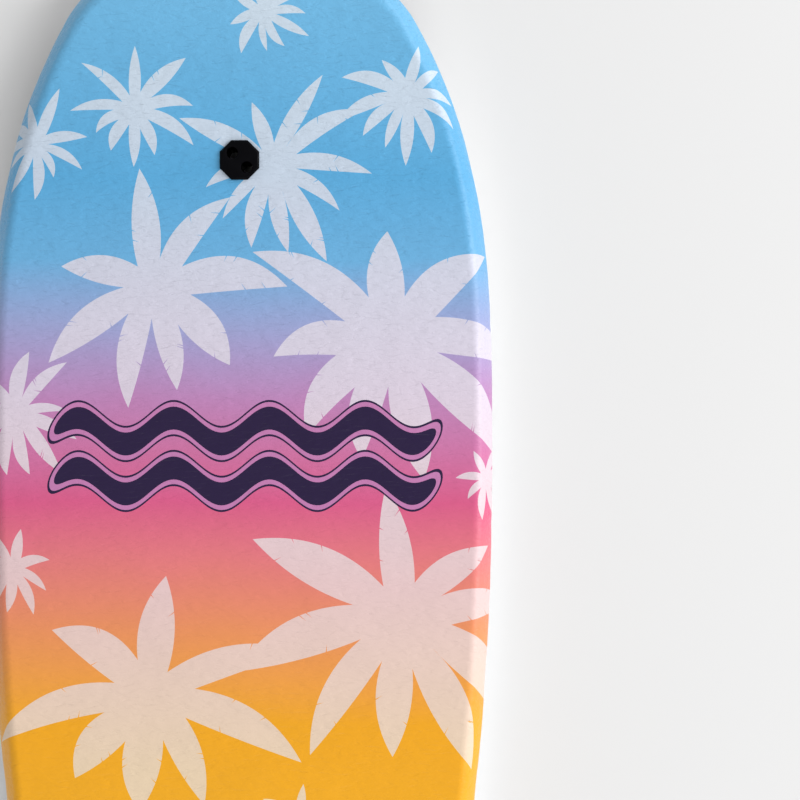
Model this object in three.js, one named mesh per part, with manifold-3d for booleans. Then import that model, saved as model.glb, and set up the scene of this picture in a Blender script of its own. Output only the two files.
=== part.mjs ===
// A bodyboard: a foam core in a foam deck skin with a printed film, foam rail strips round its
// sides, a foam-backed slick bottom, and a two-hole leash plug that snaps together through the board.
// The nose points along +Y, the deck faces +Z, and the slick lies on z = 0 under the board's middle.
import * as THREE from "three";
import { mergeVertices } from "three/addons/utils/BufferGeometryUtils.js";
import Module from "manifold-3d";

// Driving dimensions, in millimetres.
const LENGTH = 1041; // 41 inches, nose to tail tips
const WIDTH = 508; // 20 inches at the widest point
const THICKNESS = 55; // slick to deck, away from the nose
const GAP = 0.3; // between touching pieces

// Plan outline.
const WIDEST_Y = 20; // the widest point lies a little ahead of the middle
const NOSE_PULL = 122; // how far each side has drawn in by the nose line
const NOSE_POWER = 3.2;
const TAIL_PULL = 45; // the same at the tail line
const TAIL_POWER = 2.17;
const NOSE_BOW = 7; // the nose edge bows out by this
const NOSE_FLAT = 88; // half-length of the bowed nose edge, up to the rounded corner
const NOSE_CORNER = 66; // how far down each side the nose corner's rounding reaches
const CRESCENT = 28; // depth of the hollow in the tail
const CRESCENT_HALF = 168; // half-width of that hollow, up to the rounded tail corner
const TAIL_CORNER = 34; // how far up each side the tail corner's rounding reaches

// Rail section: the bevel takes 40 percent of the height, the lower rail takes 60.
const APEX_Z = 33; // height of the board's outermost edge
const BEVEL_IN = 12.5; // the bevel's width in plan
const LOWER_IN = 9; // how far the lower rail draws in by the slick
const STRIP_THICK = 7; // of the lower rail strips
const CREASE_ROUND = 3; // the crease between deck and bevel is rounded over this length

// Nose rocker: the bottom lifts more than the deck, so the nose is thinner.
const ROCKER_START_Y = 336;
const BOTTOM_LIFT = 25;
const DECK_LIFT = 14;
const ROCKER_POWER = 2.1;

// Layers.
const FILM_THICK = 0.5;
const SKIN_THICK = 3;
const BACKING_THICK = 3;
const SLICK_THICK = 1.2;
const NOSE_STRIP_Y = 462; // the nose strip's ends
const TAIL_STRIP_Y = -474; // the tail strip's ends

// Leash plug.
const PLUG_Y = 315;
const PLUG_ACROSS = 39.6; // octagon, across flats
const PLUG_FLANGE = 3.6; // its height above the deck
const PLUG_BEVEL = 1.7;
const HOLE_R = 5.75; // for the leash cord
const HOLE_OFFSET = 7.25; // each hole's centre from the plug's, along X and along Y
const STEM_R = 7.05;
const BASE_THICK = 8;
const BASE_SUNK = 0.6; // the base lies this far inside the slick's surface
const BASE_LIP = 3.1; // stops the stems
const CORD_GROOVE_WIDTH = 7;
const CORD_GROOVE_DEPTH = 2.4;
const ROUND_SIDES = 28;
const CLEAR = 10; // how far a cutter runs past what it cuts

const wasm = await Module();
wasm.setup();

// ---- helpers ----

// Keeps only positions, joins equal vertices and drops the triangles that this collapses.
function closed(geometry) {
  geometry.deleteAttribute("normal");
  geometry.deleteAttribute("uv");
  const merged = mergeVertices(geometry, 1e-4);
  const kept = [];
  const index = merged.index.array;
  for (let i = 0; i < index.length; i += 3) {
    const [a, b, c] = index.subarray(i, i + 3);
    if (a !== b && b !== c && c !== a) kept.push(a, b, c);
  }
  merged.setIndex(kept);
  return merged;
}

function solid(geometry) {
  const clean = closed(geometry);
  return new wasm.Manifold(
    new wasm.Mesh({
      numProp: 3,
      vertProperties: clean.getAttribute("position").array,
      triVerts: new Uint32Array(clean.index.array),
    }),
  );
}

function geometryOf(manifold) {
  const { vertProperties, triVerts } = manifold.getMesh();
  const geometry = new THREE.BufferGeometry();
  geometry.setAttribute("position", new THREE.BufferAttribute(vertProperties, 3));
  geometry.setIndex(new THREE.BufferAttribute(triVerts, 1));
  return geometry;
}

// A box between two corners.
function block(low, high) {
  const [x, y, z] = high.map((value, k) => value - low[k]);
  const middle = high.map((value, k) => (value + low[k]) / 2);
  return solid(new THREE.BoxGeometry(x, y, z).translate(...middle));
}

// A prism or frustum standing on z = low, with its flats square to X and Y when it has 8 sides.
function post({ x = 0, y = PLUG_Y, low, high, r, topR = r, sides = ROUND_SIDES }) {
  const geometry = new THREE.CylinderGeometry(topR, r, high - low, sides);
  geometry.rotateX(Math.PI / 2).rotateZ(Math.PI / sides);
  return solid(geometry.translate(x, y, (low + high) / 2));
}

const octagonR = (across) => across / 2 / Math.cos(Math.PI / 8);

// ---- plan outline ----

function railHalfWidth(y) {
  const [pull, power, end] =
    y > WIDEST_Y ? [NOSE_PULL, NOSE_POWER, LENGTH / 2] : [TAIL_PULL, TAIL_POWER, -LENGTH / 2];
  return WIDTH / 2 - pull * ((y - WIDEST_Y) / (end - WIDEST_Y)) ** power;
}

const noseEdge = (x) => LENGTH / 2 - NOSE_BOW * (x / NOSE_FLAT) ** 2;
const tailEdge = (x) => -LENGTH / 2 + CRESCENT * (1 - (x / CRESCENT_HALF) ** 2);
const STEP = 0.01; // for slopes taken by small differences
const slope = (curve, at) => (curve(at + STEP) - curve(at - STEP)) / (2 * STEP);

// Points on the rounding between an edge at x = edgeX and the rail at y = railY, from the rail
// end to the edge end. The two tangents cross at the rounding's control point.
function corner(edge, edgeX, railY, count) {
  const railX = railHalfWidth(railY);
  const edgeY = edge(edgeX);
  const edgeSlope = slope(edge, edgeX);
  const railSlope = slope(railHalfWidth, railY);
  const y =
    (edgeY + edgeSlope * (railX - edgeX - railSlope * railY)) / (1 - edgeSlope * railSlope);
  const x = railX + railSlope * (y - railY);
  const curve = new THREE.QuadraticBezierCurve(
    new THREE.Vector2(railX, railY),
    new THREE.Vector2(x, y),
    new THREE.Vector2(edgeX, edgeY),
  );
  return curve.getPoints(count);
}

function spread(from, to, count, point) {
  return Array.from({ length: count }, (_, k) => point(from + ((to - from) * k) / count));
}

// The right-hand side, from the middle of the tail round to the middle of the nose.
function rightHalf() {
  const railLow = -LENGTH / 2 + TAIL_CORNER;
  const railHigh = LENGTH / 2 - NOSE_CORNER;
  const onRail = (y) => new THREE.Vector2(railHalfWidth(y), y);
  return [
    ...spread(0, CRESCENT_HALF, 7, (x) => new THREE.Vector2(x, tailEdge(x))),
    ...corner(tailEdge, CRESCENT_HALF, railLow, 7).reverse().slice(0, -1),
    ...spread(railLow, ROCKER_START_Y, 17, onRail),
    ...spread(ROCKER_START_Y, railHigh, 6, onRail),
    ...corner(noseEdge, NOSE_FLAT, railHigh, 7).slice(0, -1),
    ...spread(NOSE_FLAT, 0, 4, (x) => new THREE.Vector2(x, noseEdge(x))),
    new THREE.Vector2(0, noseEdge(0)),
  ];
}

// The whole outline, counter-clockwise from above, fitted to LENGTH, with each point's inward normal.
function outline() {
  const right = rightHalf();
  const left = right.slice(1, -1).reverse();
  const points = [...right, ...left.map((p) => new THREE.Vector2(-p.x, p.y))];
  const low = Math.min(...points.map((p) => p.y));
  const fit = LENGTH / (noseEdge(0) - low);
  points.forEach((p) => p.setY((p.y - low) * fit - LENGTH / 2));
  return points.map((p, i) => {
    const before = points.at(i - 1);
    const after = points[(i + 1) % points.length];
    const along = after.clone().sub(before).normalize();
    return { x: p.x, y: p.y, inX: -along.y, inY: along.x };
  });
}

const RIM = outline();
const SPINE_LOW = -LENGTH / 2 + 2 * CRESCENT + 30; // the tail's fan of triangles starts here
const SPINE_HIGH = LENGTH / 2 - 60;
const INNER_IN = 17; // an inner ring that every layer shares lies this far in,
const INNER_PULL = 0.15; // and then this share of the way to the spine

// ---- layered body ----

// Lifts a height by the nose rocker, which thins the nose a little.
function rockered(y, z) {
  const rise = Math.max(0, (y - ROCKER_START_Y) / (LENGTH / 2 - ROCKER_START_Y)) ** ROCKER_POWER;
  return z + rise * (BOTTOM_LIFT - ((BOTTOM_LIFT - DECK_LIFT) * z) / THICKNESS);
}

// A body whose section is the same all round the outline. The section is a list of [inset, z, pull],
// turned round the outline as a lathe turns it round an axis. A pull of 1 puts the point on the
// spine, which is the board's middle line, and closes the body there.
function aroundRim(section) {
  const profile = section.map(([inset, z]) => new THREE.Vector2(inset, z));
  const geometry = new THREE.LatheGeometry(profile, RIM.length);
  const position = geometry.getAttribute("position");
  for (let i = 0; i <= RIM.length; i++) {
    const rim = RIM[i % RIM.length];
    const spineY = THREE.MathUtils.clamp(rim.y, SPINE_LOW, SPINE_HIGH);
    section.forEach(([inset, z, pull = 0], j) => {
      const x = (rim.x + rim.inX * inset) * (1 - pull);
      const y = THREE.MathUtils.lerp(rim.y + rim.inY * inset, spineY, pull);
      position.setXYZ(i * section.length + j, x, y, rockered(y, z));
    });
  }
  return solid(geometry);
}

// The inner part of a surface at height z, from the shared ring to the spine.
const inward = (z) => [[INNER_IN, z, INNER_PULL], [0, z, 1]];
const outward = (z) => inward(z).reverse();

const bevelAngle = Math.atan2(THICKNESS - APEX_Z, BEVEL_IN);

// The deck side of a layer that lies depth below the surface, from its foot at the apex to the spine.
function deckLine(depth) {
  const creaseIn = BEVEL_IN + depth * Math.tan(bevelAngle / 2);
  const back = CREASE_ROUND * Math.cos(bevelAngle);
  const down = CREASE_ROUND * Math.sin(bevelAngle);
  return [
    [depth / Math.sin(bevelAngle), APEX_Z],
    [creaseIn - back, THICKNESS - depth - down],
    [creaseIn + CREASE_ROUND, THICKNESS - depth],
    ...inward(THICKNESS - depth),
  ];
}

// A skin between two depths: along its inner face to the foot, then back along its outer face.
function skin(outerDepth, thick) {
  return aroundRim([...deckLine(outerDepth + thick).reverse(), ...deckLine(outerDepth)]);
}

const stripInner = (z) => STRIP_THICK + (LOWER_IN * (APEX_Z - z)) / APEX_Z;
const stripLow = SLICK_THICK + GAP;
const stripHigh = APEX_Z - GAP;
const backingHigh = stripLow + BACKING_THICK;
const filmToSkin = FILM_THICK + GAP;
const coreDepth = filmToSkin + SKIN_THICK + GAP;

function coreBody() {
  const low = backingHigh + GAP;
  const side = GAP / Math.cos(Math.atan2(LOWER_IN, APEX_Z)); // the strip leans, so its gap is wider
  return aroundRim([
    ...outward(low),
    [stripInner(low) + side, low],
    [stripInner(stripHigh) + side, stripHigh + GAP],
    ...deckLine(coreDepth).slice(1),
  ]);
}

function railBand() {
  return aroundRim([
    [stripInner(stripHigh), stripHigh],
    [stripInner(stripLow), stripLow],
    [stripInner(stripLow) - STRIP_THICK, stripLow],
    [stripInner(stripHigh) - STRIP_THICK, stripHigh],
    [stripInner(stripHigh), stripHigh],
  ]);
}

function flatLayer(inset, low, high) {
  return aroundRim([...outward(low), [inset, low], [inset, high], ...inward(high)]);
}

// The part of the rail band between two heights in Y, on one side of the board or on both.
function bandPiece(band, lowY, highY, side = 0) {
  const lowX = side > 0 ? 0 : -WIDTH;
  const highX = side < 0 ? 0 : WIDTH;
  return band.intersect(block([lowX, lowY, -THICKNESS], [highX, highY, 2 * THICKNESS]));
}

// ---- leash plug ----

const holes = [
  [-HOLE_OFFSET, PLUG_Y + HOLE_OFFSET],
  [HOLE_OFFSET, PLUG_Y - HOLE_OFFSET],
];
const stemLow = BASE_SUNK + BASE_LIP + GAP;
const baseHigh = BASE_SUNK + BASE_THICK;

function plugTop() {
  const low = THICKNESS + GAP;
  const high = THICKNESS + PLUG_FLANGE;
  const r = octagonR(PLUG_ACROSS);
  const topR = octagonR(PLUG_ACROSS - 2 * PLUG_BEVEL);
  let made = post({ low, high: high - PLUG_BEVEL, r, sides: 8 });
  made = made.add(post({ low: high - PLUG_BEVEL, high, r, topR, sides: 8 }));
  for (const [x, y] of holes) made = made.add(post({ x, y, low: stemLow, high: low + 1, r: STEM_R }));
  for (const [x, y] of holes) {
    made = made.subtract(post({ x, y, low: stemLow - CLEAR, high: high + CLEAR, r: HOLE_R }));
  }
  return made;
}

function plugBase() {
  const r = octagonR(PLUG_ACROSS);
  let made = post({ low: BASE_SUNK, high: baseHigh, r, sides: 8 });
  for (const [x, y] of holes) {
    made = made.subtract(post({ x, y, low: -CLEAR, high: baseHigh + CLEAR, r: HOLE_R }));
    made = made.subtract(
      post({ x, y, low: BASE_SUNK + BASE_LIP, high: baseHigh + CLEAR, r: STEM_R + GAP }),
    );
  }
  const groove = new THREE.BoxGeometry(
    2 * HOLE_OFFSET * Math.SQRT2,
    CORD_GROOVE_WIDTH,
    2 * CORD_GROOVE_DEPTH,
  );
  return made.subtract(solid(groove.rotateZ(-Math.PI / 4).translate(0, PLUG_Y, BASE_SUNK)));
}

// Cuts a layer for the plug's two stems and, low down, for its base.
function pierced(layer) {
  const wayR = STEM_R + GAP;
  let made = layer;
  for (const [x, y] of holes) {
    made = made.subtract(post({ x, y, low: -CLEAR, high: THICKNESS + CLEAR, r: wayR }));
  }
  const seatR = octagonR(PLUG_ACROSS + 2 * GAP);
  return made.subtract(post({ low: -CLEAR, high: baseHigh + GAP, r: seatR, sides: 8 }));
}

// ---- the board ----

const look = (color, roughness) =>
  new THREE.MeshStandardMaterial({ color, roughness, metalness: 0 });

const board = new THREE.Group();
board.name = "bodyboard";

function place(name, made, material) {
  const mesh = new THREE.Mesh(geometryOf(made), material);
  mesh.name = name;
  board.add(mesh);
}

const band = railBand();
const sideLow = TAIL_STRIP_Y + GAP;
const sideHigh = NOSE_STRIP_Y - GAP;

place("foam_core", pierced(coreBody()), look(0xf4f4f0, 0.9));
place("deck_foam", pierced(skin(filmToSkin, SKIN_THICK)), look(0xf2f2ee, 0.8));
place("deck_film", pierced(skin(0, FILM_THICK)), look(0xd98fa6, 0.32));
place("left_rail", bandPiece(band, sideLow, sideHigh, -1), look(0xe9ebec, 0.6));
place("right_rail", bandPiece(band, sideLow, sideHigh, 1), look(0xe9ebec, 0.6));
place("nose_strip", bandPiece(band, NOSE_STRIP_Y, LENGTH), look(0xe9ebec, 0.6));
place("tail_strip", bandPiece(band, -LENGTH, TAIL_STRIP_Y), look(0xe9ebec, 0.6));
place(
  "bottom_foam",
  pierced(flatLayer(stripInner(stripLow) + 2 * GAP, stripLow, backingHigh)),
  look(0xf2f2ee, 0.8),
);
place("bottom_slick", pierced(flatLayer(LOWER_IN, 0, SLICK_THICK)), look(0x27345f, 0.25));
place("leash_plug_top", plugTop(), look(0x101014, 0.35));
place("leash_plug_base", plugBase(), look(0x101014, 0.35));

export default board;
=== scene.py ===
# %% [markdown]
# A foam bodyboard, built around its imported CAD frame. The board is a sandwich: a light bead-foam core,
# a soft foam skin under a printed plastic film on the deck and the bevel, foam strips round the lower
# rail, a hard slick sheet underneath, and a two-part black leash plug that goes through everything.
# The frame gives the board's length and width, and each finished layer's box is compared with its node
# in the frame. The cells below make one layer or one finish at a time.

# %% Load the frame
import math
import random

import bmesh
import bpy
import numpy as np
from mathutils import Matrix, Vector, geometry, kdtree, noise


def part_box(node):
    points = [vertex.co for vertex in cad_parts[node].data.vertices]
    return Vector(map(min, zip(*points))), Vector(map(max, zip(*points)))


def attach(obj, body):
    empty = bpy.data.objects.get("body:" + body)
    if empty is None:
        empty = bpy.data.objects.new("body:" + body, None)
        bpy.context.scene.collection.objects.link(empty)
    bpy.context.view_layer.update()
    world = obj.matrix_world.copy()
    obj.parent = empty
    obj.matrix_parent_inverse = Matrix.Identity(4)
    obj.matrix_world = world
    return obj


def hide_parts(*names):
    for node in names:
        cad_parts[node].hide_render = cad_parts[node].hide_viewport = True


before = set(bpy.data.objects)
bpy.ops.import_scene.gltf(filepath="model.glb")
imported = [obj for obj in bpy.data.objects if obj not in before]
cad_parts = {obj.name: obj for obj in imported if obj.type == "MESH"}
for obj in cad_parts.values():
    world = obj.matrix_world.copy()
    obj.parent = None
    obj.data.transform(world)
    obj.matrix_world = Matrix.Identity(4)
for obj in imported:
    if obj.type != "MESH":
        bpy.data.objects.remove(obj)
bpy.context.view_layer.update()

scene = bpy.context.scene
print("frame nodes:", sorted(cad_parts))

# %% [markdown]
# The plan drawing and all the sections are drawn in millimetres, as on a shaper's template, and turned
# into metres when a mesh is made. The film's box in the frame gives the length and the width. The other
# sizes are the template's own: heights are measured up from the slick's face, and insets inwards from
# the plan outline.

# %% Sizes of the board
MM = 0.001
film_low, film_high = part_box("deck_film")
LENGTH = (film_high[1] - film_low[1]) / MM
WIDTH = (film_high[0] - film_low[0]) / MM
THICKNESS = 55.0
APEX_Z = 33.0  # where the bevel meets the lower rail
BEVEL_IN = 12.5  # from the plan outline to the crease
LOWER_IN = 9.0  # how far the lower rail draws in down to the slick
STRIP_THICK = 7.0
GAP = 0.3  # left where two layers are glued or welded
FILM_THICK = 0.5
SKIN_THICK = 3.0
SLICK_THICK = 1.2
BACKING_THICK = 3.0
HALF = LENGTH / 2
print(f"board {LENGTH:.1f} x {WIDTH:.1f} mm, deck at {THICKNESS:.1f} mm")

# %% [markdown]
# The plan outline follows the template's rule: each side draws in from the widest point by a power of
# the distance, faster towards the nose than towards the tail. The nose bows out a little, the tail is
# a crescent, and the four corners are quadratic Bezier curves between the edges' tangents. The outline
# could be drawn by hand as a curve object, but the rule is the one that the frame's layers follow.

# %% Plan outline
WIDEST_Y = 20.0
NOSE_PULL = 122.0
NOSE_POWER = 3.2
TAIL_PULL = 45.0
TAIL_POWER = 2.17
NOSE_BOW = 7.0
NOSE_FLAT = 88.0
NOSE_CORNER = 66.0
CRESCENT = 28.0
CRESCENT_HALF = 168.0
TAIL_CORNER = 34.0
CORNER_SAMPLES = 24
TAIL_SAMPLES = 60
RAIL_SAMPLES = 300
NOSE_SAMPLES = 40
RIM_STEP = 1.5


def rail_half_width(y):
    pull, power, end = (NOSE_PULL, NOSE_POWER, HALF) if y > WIDEST_Y else (TAIL_PULL, TAIL_POWER, -HALF)
    return WIDTH / 2 - pull * ((y - WIDEST_Y) / (end - WIDEST_Y)) ** power


def nose_edge(x):
    return HALF - NOSE_BOW * (x / NOSE_FLAT) ** 2


def tail_edge(x):
    return -HALF + CRESCENT * (1 - (x / CRESCENT_HALF) ** 2)


def slope(curve, at, step=0.01):
    return (curve(at + step) - curve(at - step)) / (2 * step)


def corner(edge_line, edge_x, rail_y):
    """The rounding from the rail to an edge, as points on a quadratic Bezier."""
    rail_x = rail_half_width(rail_y)
    edge_y = edge_line(edge_x)
    edge_slope = slope(edge_line, edge_x)
    rail_slope = slope(rail_half_width, rail_y)
    y = (edge_y + edge_slope * (rail_x - edge_x - rail_slope * rail_y)) / (1 - edge_slope * rail_slope)
    x = rail_x + rail_slope * (y - rail_y)
    t = np.linspace(0, 1, CORNER_SAMPLES)[:, None]
    ends = np.array([[rail_x, rail_y], [x, y], [edge_x, edge_y]])
    return (1 - t) ** 2 * ends[0] + 2 * t * (1 - t) * ends[1] + t**2 * ends[2]


def board_outline():
    """The rim, counter-clockwise from above, at even steps, and each point's inward normal."""
    low, high = -HALF + TAIL_CORNER, HALF - NOSE_CORNER
    across_tail = [(x, tail_edge(x)) for x in np.linspace(0, CRESCENT_HALF, TAIL_SAMPLES, endpoint=False)]
    tail_corner = corner(tail_edge, CRESCENT_HALF, low)[::-1]
    along_rail = [(rail_half_width(y), y) for y in np.linspace(low, high, RAIL_SAMPLES)[1:-1]]
    nose_corner = corner(nose_edge, NOSE_FLAT, high)
    across_nose = [(x, nose_edge(x)) for x in np.linspace(NOSE_FLAT, 0, NOSE_SAMPLES)[1:]]
    right = np.vstack([across_tail, tail_corner, along_rail, nose_corner, across_nose])
    left = right[1:-1][::-1] * [-1, 1]
    loop = np.vstack([right, left, right[:1]])
    lowest = loop[:, 1].min()
    loop[:, 1] = (loop[:, 1] - lowest) * LENGTH / (HALF - lowest) - HALF
    run = np.concatenate([[0], np.cumsum(np.hypot(*np.diff(loop, axis=0).T))])
    count = int(run[-1] / RIM_STEP)
    even = np.linspace(0, run[-1], count, endpoint=False)
    points = np.stack([np.interp(even, run, loop[:, 0]), np.interp(even, run, loop[:, 1])], axis=1)
    along = np.roll(points, -2, axis=0) - np.roll(points, 2, axis=0)
    along /= np.hypot(*along.T)[:, None]
    return points, np.stack([-along[:, 1], along[:, 0]], axis=1)


RIM, INWARD = board_outline()
rim_tree = kdtree.KDTree(len(RIM))
for number, (x, y) in enumerate(RIM):
    rim_tree.insert((x, y, 0), number)
rim_tree.balance()
print(f"rim: {len(RIM)} points, {len(RIM) * RIM_STEP:.0f} mm round")

# %% [markdown]
# The nose is lifted by the rocker, more at the bottom than at the deck, so it is also a little thinner.

# %% Rocker
ROCKER_START_Y = 336.0
BOTTOM_LIFT = 25.0
DECK_LIFT = 14.0
ROCKER_POWER = 2.1


def rocker_lift(y, z):
    """How far a point at height z is raised, for arrays of y and z in millimetres."""
    rise = np.clip((y - ROCKER_START_Y) / (HALF - ROCKER_START_Y), 0, None) ** ROCKER_POWER
    return rise * (BOTTOM_LIFT - (BOTTOM_LIFT - DECK_LIFT) * z / THICKNESS)


print(f"nose lift: bottom {rocker_lift(HALF, 0.0):.1f} mm, deck {rocker_lift(HALF, THICKNESS):.1f} mm")

# %% [markdown]
# The film is one printed sheet, pressed over the deck's edge: it runs flat, rolls over a soft crease,
# goes down the bevel and tucks round the widest edge of the board. Its section is two arcs with a
# slightly swollen run between them. Laid flat, the sheet is a little larger than the board. Real film is
# printed flat, so the shapes below are drawn on the flat sheet and wrapped over this section afterwards.

# %% Section of the deck, crease and bevel
CREASE_TANGENT = 7.0
EDGE_R = 4.0
EDGE_Z = 34.5
TUCK = math.radians(110)
FLAT_IN = 20.0
BEVEL_SWELL = 0.35
CREASE_ROWS = 7
BEVEL_ROWS = 7
EDGE_ROWS = 8


def deck_section():
    """Rows of inset, height and tilt from the flat down to the tucked edge, and the distance run at each."""
    reach = math.hypot(BEVEL_IN - EDGE_R, THICKNESS - EDGE_Z)
    tilt = math.atan2(THICKNESS - EDGE_Z, BEVEL_IN - EDGE_R) - math.asin(EDGE_R / reach)
    crease_r = CREASE_TANGENT / math.tan(tilt / 2)
    rows = [(FLAT_IN, THICKNESS, 0.0)]
    for a in np.linspace(0, tilt, CREASE_ROWS):
        inset = BEVEL_IN + CREASE_TANGENT - crease_r * math.sin(a)
        rows.append((inset, THICKNESS - crease_r * (1 - math.cos(a)), a))
    top = rows[-1]
    foot = (EDGE_R - EDGE_R * math.sin(tilt), EDGE_Z + EDGE_R * math.cos(tilt))
    for u in np.linspace(0, 1, BEVEL_ROWS)[1:-1]:
        out = BEVEL_SWELL * math.sin(math.pi * u)
        inset = top[0] + (foot[0] - top[0]) * u - out * math.sin(tilt)
        rows.append((inset, top[1] + (foot[1] - top[1]) * u + out * math.cos(tilt), tilt))
    for a in np.linspace(tilt, TUCK, EDGE_ROWS):
        rows.append((EDGE_R - EDGE_R * math.sin(a), EDGE_Z + EDGE_R * math.cos(a), a))
    rows = np.array(rows)
    run = np.concatenate([[0], np.cumsum(np.hypot(*np.diff(rows[:, :2], axis=0).T))])
    return rows, run


SECTION, SECTION_RUN = deck_section()
SHEET_OUT = SECTION_RUN[-1] - FLAT_IN
print(f"film: {SECTION_RUN[-1]:.1f} mm from flat to tucked edge, {SHEET_OUT:.1f} mm beyond the plan")

# %% [markdown]
# Wrapping takes a point of the flat sheet, finds the nearest point of the rim, and uses the distance
# from it to walk down the section. Slow swells and small dents are added here, as real height, because
# the foam under a laminated film is never quite even. The dents sit low on both rails, where boards are
# gripped and stacked. Each has its place along the board, its spread and its depth. A swell has its
# length across and along the board, its height, and the slice of the noise that it is cut from.

# %% Wrap a flat sheet over the deck
RAIL_DENTS = ((306, 16, 1.0), (-17, 7, 1.1), (-50, 9, 0.9), (-205, 14, 1.2), (-310, 12, 1.1), (150, 8, 0.7))
DENT_RUN = 27.0
DENT_FADE = 6.0
SWELLS = ((75, 75, 0.30, 0.3), (24, 21, 0.16, 4.1), (11, 8, 0.09, 9.7))
PLUG_Y = 315.0
PLUG_REACH = 30.0
PLUG_DENT = 0.2


def rim_frame(sheet):
    """Each flat point's distance inside the rim, its nearest rim point and the inward normal there."""
    found = np.array([rim_tree.find((x, y, 0))[1] for x, y in sheet])
    base, inward = RIM[found], INWARD[found]
    along = np.stack([inward[:, 1], -inward[:, 0]], axis=1)
    slip = np.einsum("ij,ij->i", sheet - base, along)
    step = np.sign(slip).astype(int)
    neighbour = (found + step) % len(RIM)
    share = np.clip(np.abs(slip) / RIM_STEP, 0, 1)[:, None]
    base = base * (1 - share) + RIM[neighbour] * share
    inward = inward * (1 - share) + INWARD[neighbour] * share
    inward /= np.hypot(*inward.T)[:, None]
    return np.einsum("ij,ij->i", sheet - base, inward), base, inward


def unevenness(x, y):
    """Slow swells of the foam under the film, in millimetres, calmed where the plug's flange presses."""
    swell = sum(high * noise.noise(Vector((x / wide, y / long, cut))) for wide, long, high, cut in SWELLS)
    pressed = math.exp(-((math.hypot(x, y - PLUG_Y) / PLUG_REACH) ** 4))
    return swell * (1 - pressed) - PLUG_DENT * pressed


def wrap(sheet, depth, textured):
    """The sheet's points on the board in metres, at a depth below its outer surface."""
    distance, base, inward = rim_frame(sheet)
    run = np.clip(FLAT_IN - distance, 0, SECTION_RUN[-1])
    inset = np.interp(run, SECTION_RUN, SECTION[:, 0])
    height = np.interp(run, SECTION_RUN, SECTION[:, 1])
    tilt = np.interp(run, SECTION_RUN, SECTION[:, 2])
    out = np.full(len(sheet), -float(depth))
    if textured:
        out += [unevenness(x, y) for x, y in sheet]
        for y, spread, deep in RAIL_DENTS:
            near = np.exp(-((base[:, 1] - y) ** 2) / (2 * spread**2))
            low = np.clip((run - DENT_RUN) / DENT_FADE, 0, 1)
            out -= deep * near * low
    plan = np.where((distance > FLAT_IN)[:, None], sheet, base + inward * inset[:, None])
    plan = plan - inward * (out * np.sin(tilt))[:, None]
    z = height + out * np.cos(tilt)
    z = z + rocker_lift(plan[:, 1], z)
    return np.column_stack([plan, z]) * MM


print("wrap test, sheet corner to board:", wrap(np.array([[240.0, 20.0]]), 0, False).round(4))

# %% [markdown]
# The print: pale palm crowns over a sunset fade. They could be drawn leaf by leaf, but a rule makes a
# plain palm motif from a few sizes, and with chance in it every crown comes out a little different. A
# crown is a ring of fronds round a heart. Each frond runs from a notch out to a pointed tip and back to
# the next notch. The fronds at the sides droop, and their upper edge tends to swell more than the lower.

# %% Palm crowns
HEART = 0.24
FROND_WIDTH = 0.56
FROND_BEND = 0.06
DROOP = 0.3
SHORTEST = 0.6
TURN_SPREAD = 0.17
BEND_SPREAD = 0.35
NOTCH_SPREAD = (0.8, 1.25)
WIDTH_SPREAD = (0.7, 1.2)


def polar(middle, reach, angle):
    return (middle[0] + reach * math.cos(angle), middle[1] + reach * math.sin(angle))


def palm_crown(middle, reach, count, turn, seed):
    """Rows of notch, tip and the swells of a frond's two edges, counter-clockwise round the heart."""
    draw = random.Random(seed)
    step = 2 * math.pi / count
    upright = math.radians(90 + turn)
    angles = [upright + step * (k + draw.uniform(-TURN_SPREAD, TURN_SPREAD)) for k in range(count)]
    rows = []
    for k, angle in enumerate(angles):
        before = angles[k - 1] - (2 * math.pi if k == 0 else 0)
        notch_reach = HEART * reach * draw.uniform(*NOTCH_SPREAD)
        notch_angle = (angle + before) / 2
        side = math.sin(angle - upright)
        length = reach * draw.uniform(SHORTEST, 1.0)
        tip_angle = angle + DROOP * side
        width = FROND_WIDTH / count * length * draw.uniform(*WIDTH_SPREAD)
        bend = FROND_BEND * length * (side + draw.uniform(-BEND_SPREAD, BEND_SPREAD))
        notch, tip = polar(middle, notch_reach, notch_angle), polar(middle, length, tip_angle)
        rows.append((notch, tip, width + bend, width - bend))
    return rows


print("fronds in a test crown:", len(palm_crown((0, 0), 100, 9, 0, 1)))

# %% [markdown]
# Turning a crown into an outline: each edge is a quadratic Bezier, sampled every few millimetres so
# that it can be wrapped over the crease. Thin slits are cut into the longer edges, as wind tears real
# palm leaves. Large crowns fill the middle of the deck and small ones the nose, the tail and the gaps.
# A crown's row gives its heart, its reach, the number of its fronds, its turn in degrees and its seed.

# %% Outline of a crown
EDGE_STEP = 2.5
LONG_EDGE = 22  # points
SLIT_WIDTH = 1.1
SLIT_DEPTH = (4, 8)
SLIT_LEAN = 0.5


def frond_edge(start, end, swell):
    """Points from start up to, but not including, end. The edge swells to the right of its run."""
    run = np.subtract(end, start)
    length = math.hypot(*run)
    control = np.add(start, 0.5 * run) + 2 * swell * np.array([run[1], -run[0]]) / length
    t = np.linspace(0, 1, max(4, math.ceil(length / EDGE_STEP)), endpoint=False)[:, None]
    curve = (1 - t) ** 2 * np.array(start) + 2 * t * (1 - t) * control + t**2 * np.array(end)
    return [tuple(p) for p in curve]


def cut_slit(points, at, depth, lean):
    """Cuts a thin slanting slit into the leaf behind point number at."""
    (x, y), (next_x, next_y) = points[at], points[at + 1]
    length = math.hypot(next_x - x, next_y - y)
    along = ((next_x - x) / length, (next_y - y) / length)
    deep = (x - along[1] * depth - along[0] * depth * lean, y + along[0] * depth - along[1] * depth * lean)
    points[at + 1 : at + 1] = [deep, (x + along[0] * SLIT_WIDTH, y + along[1] * SLIT_WIDTH)]


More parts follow.
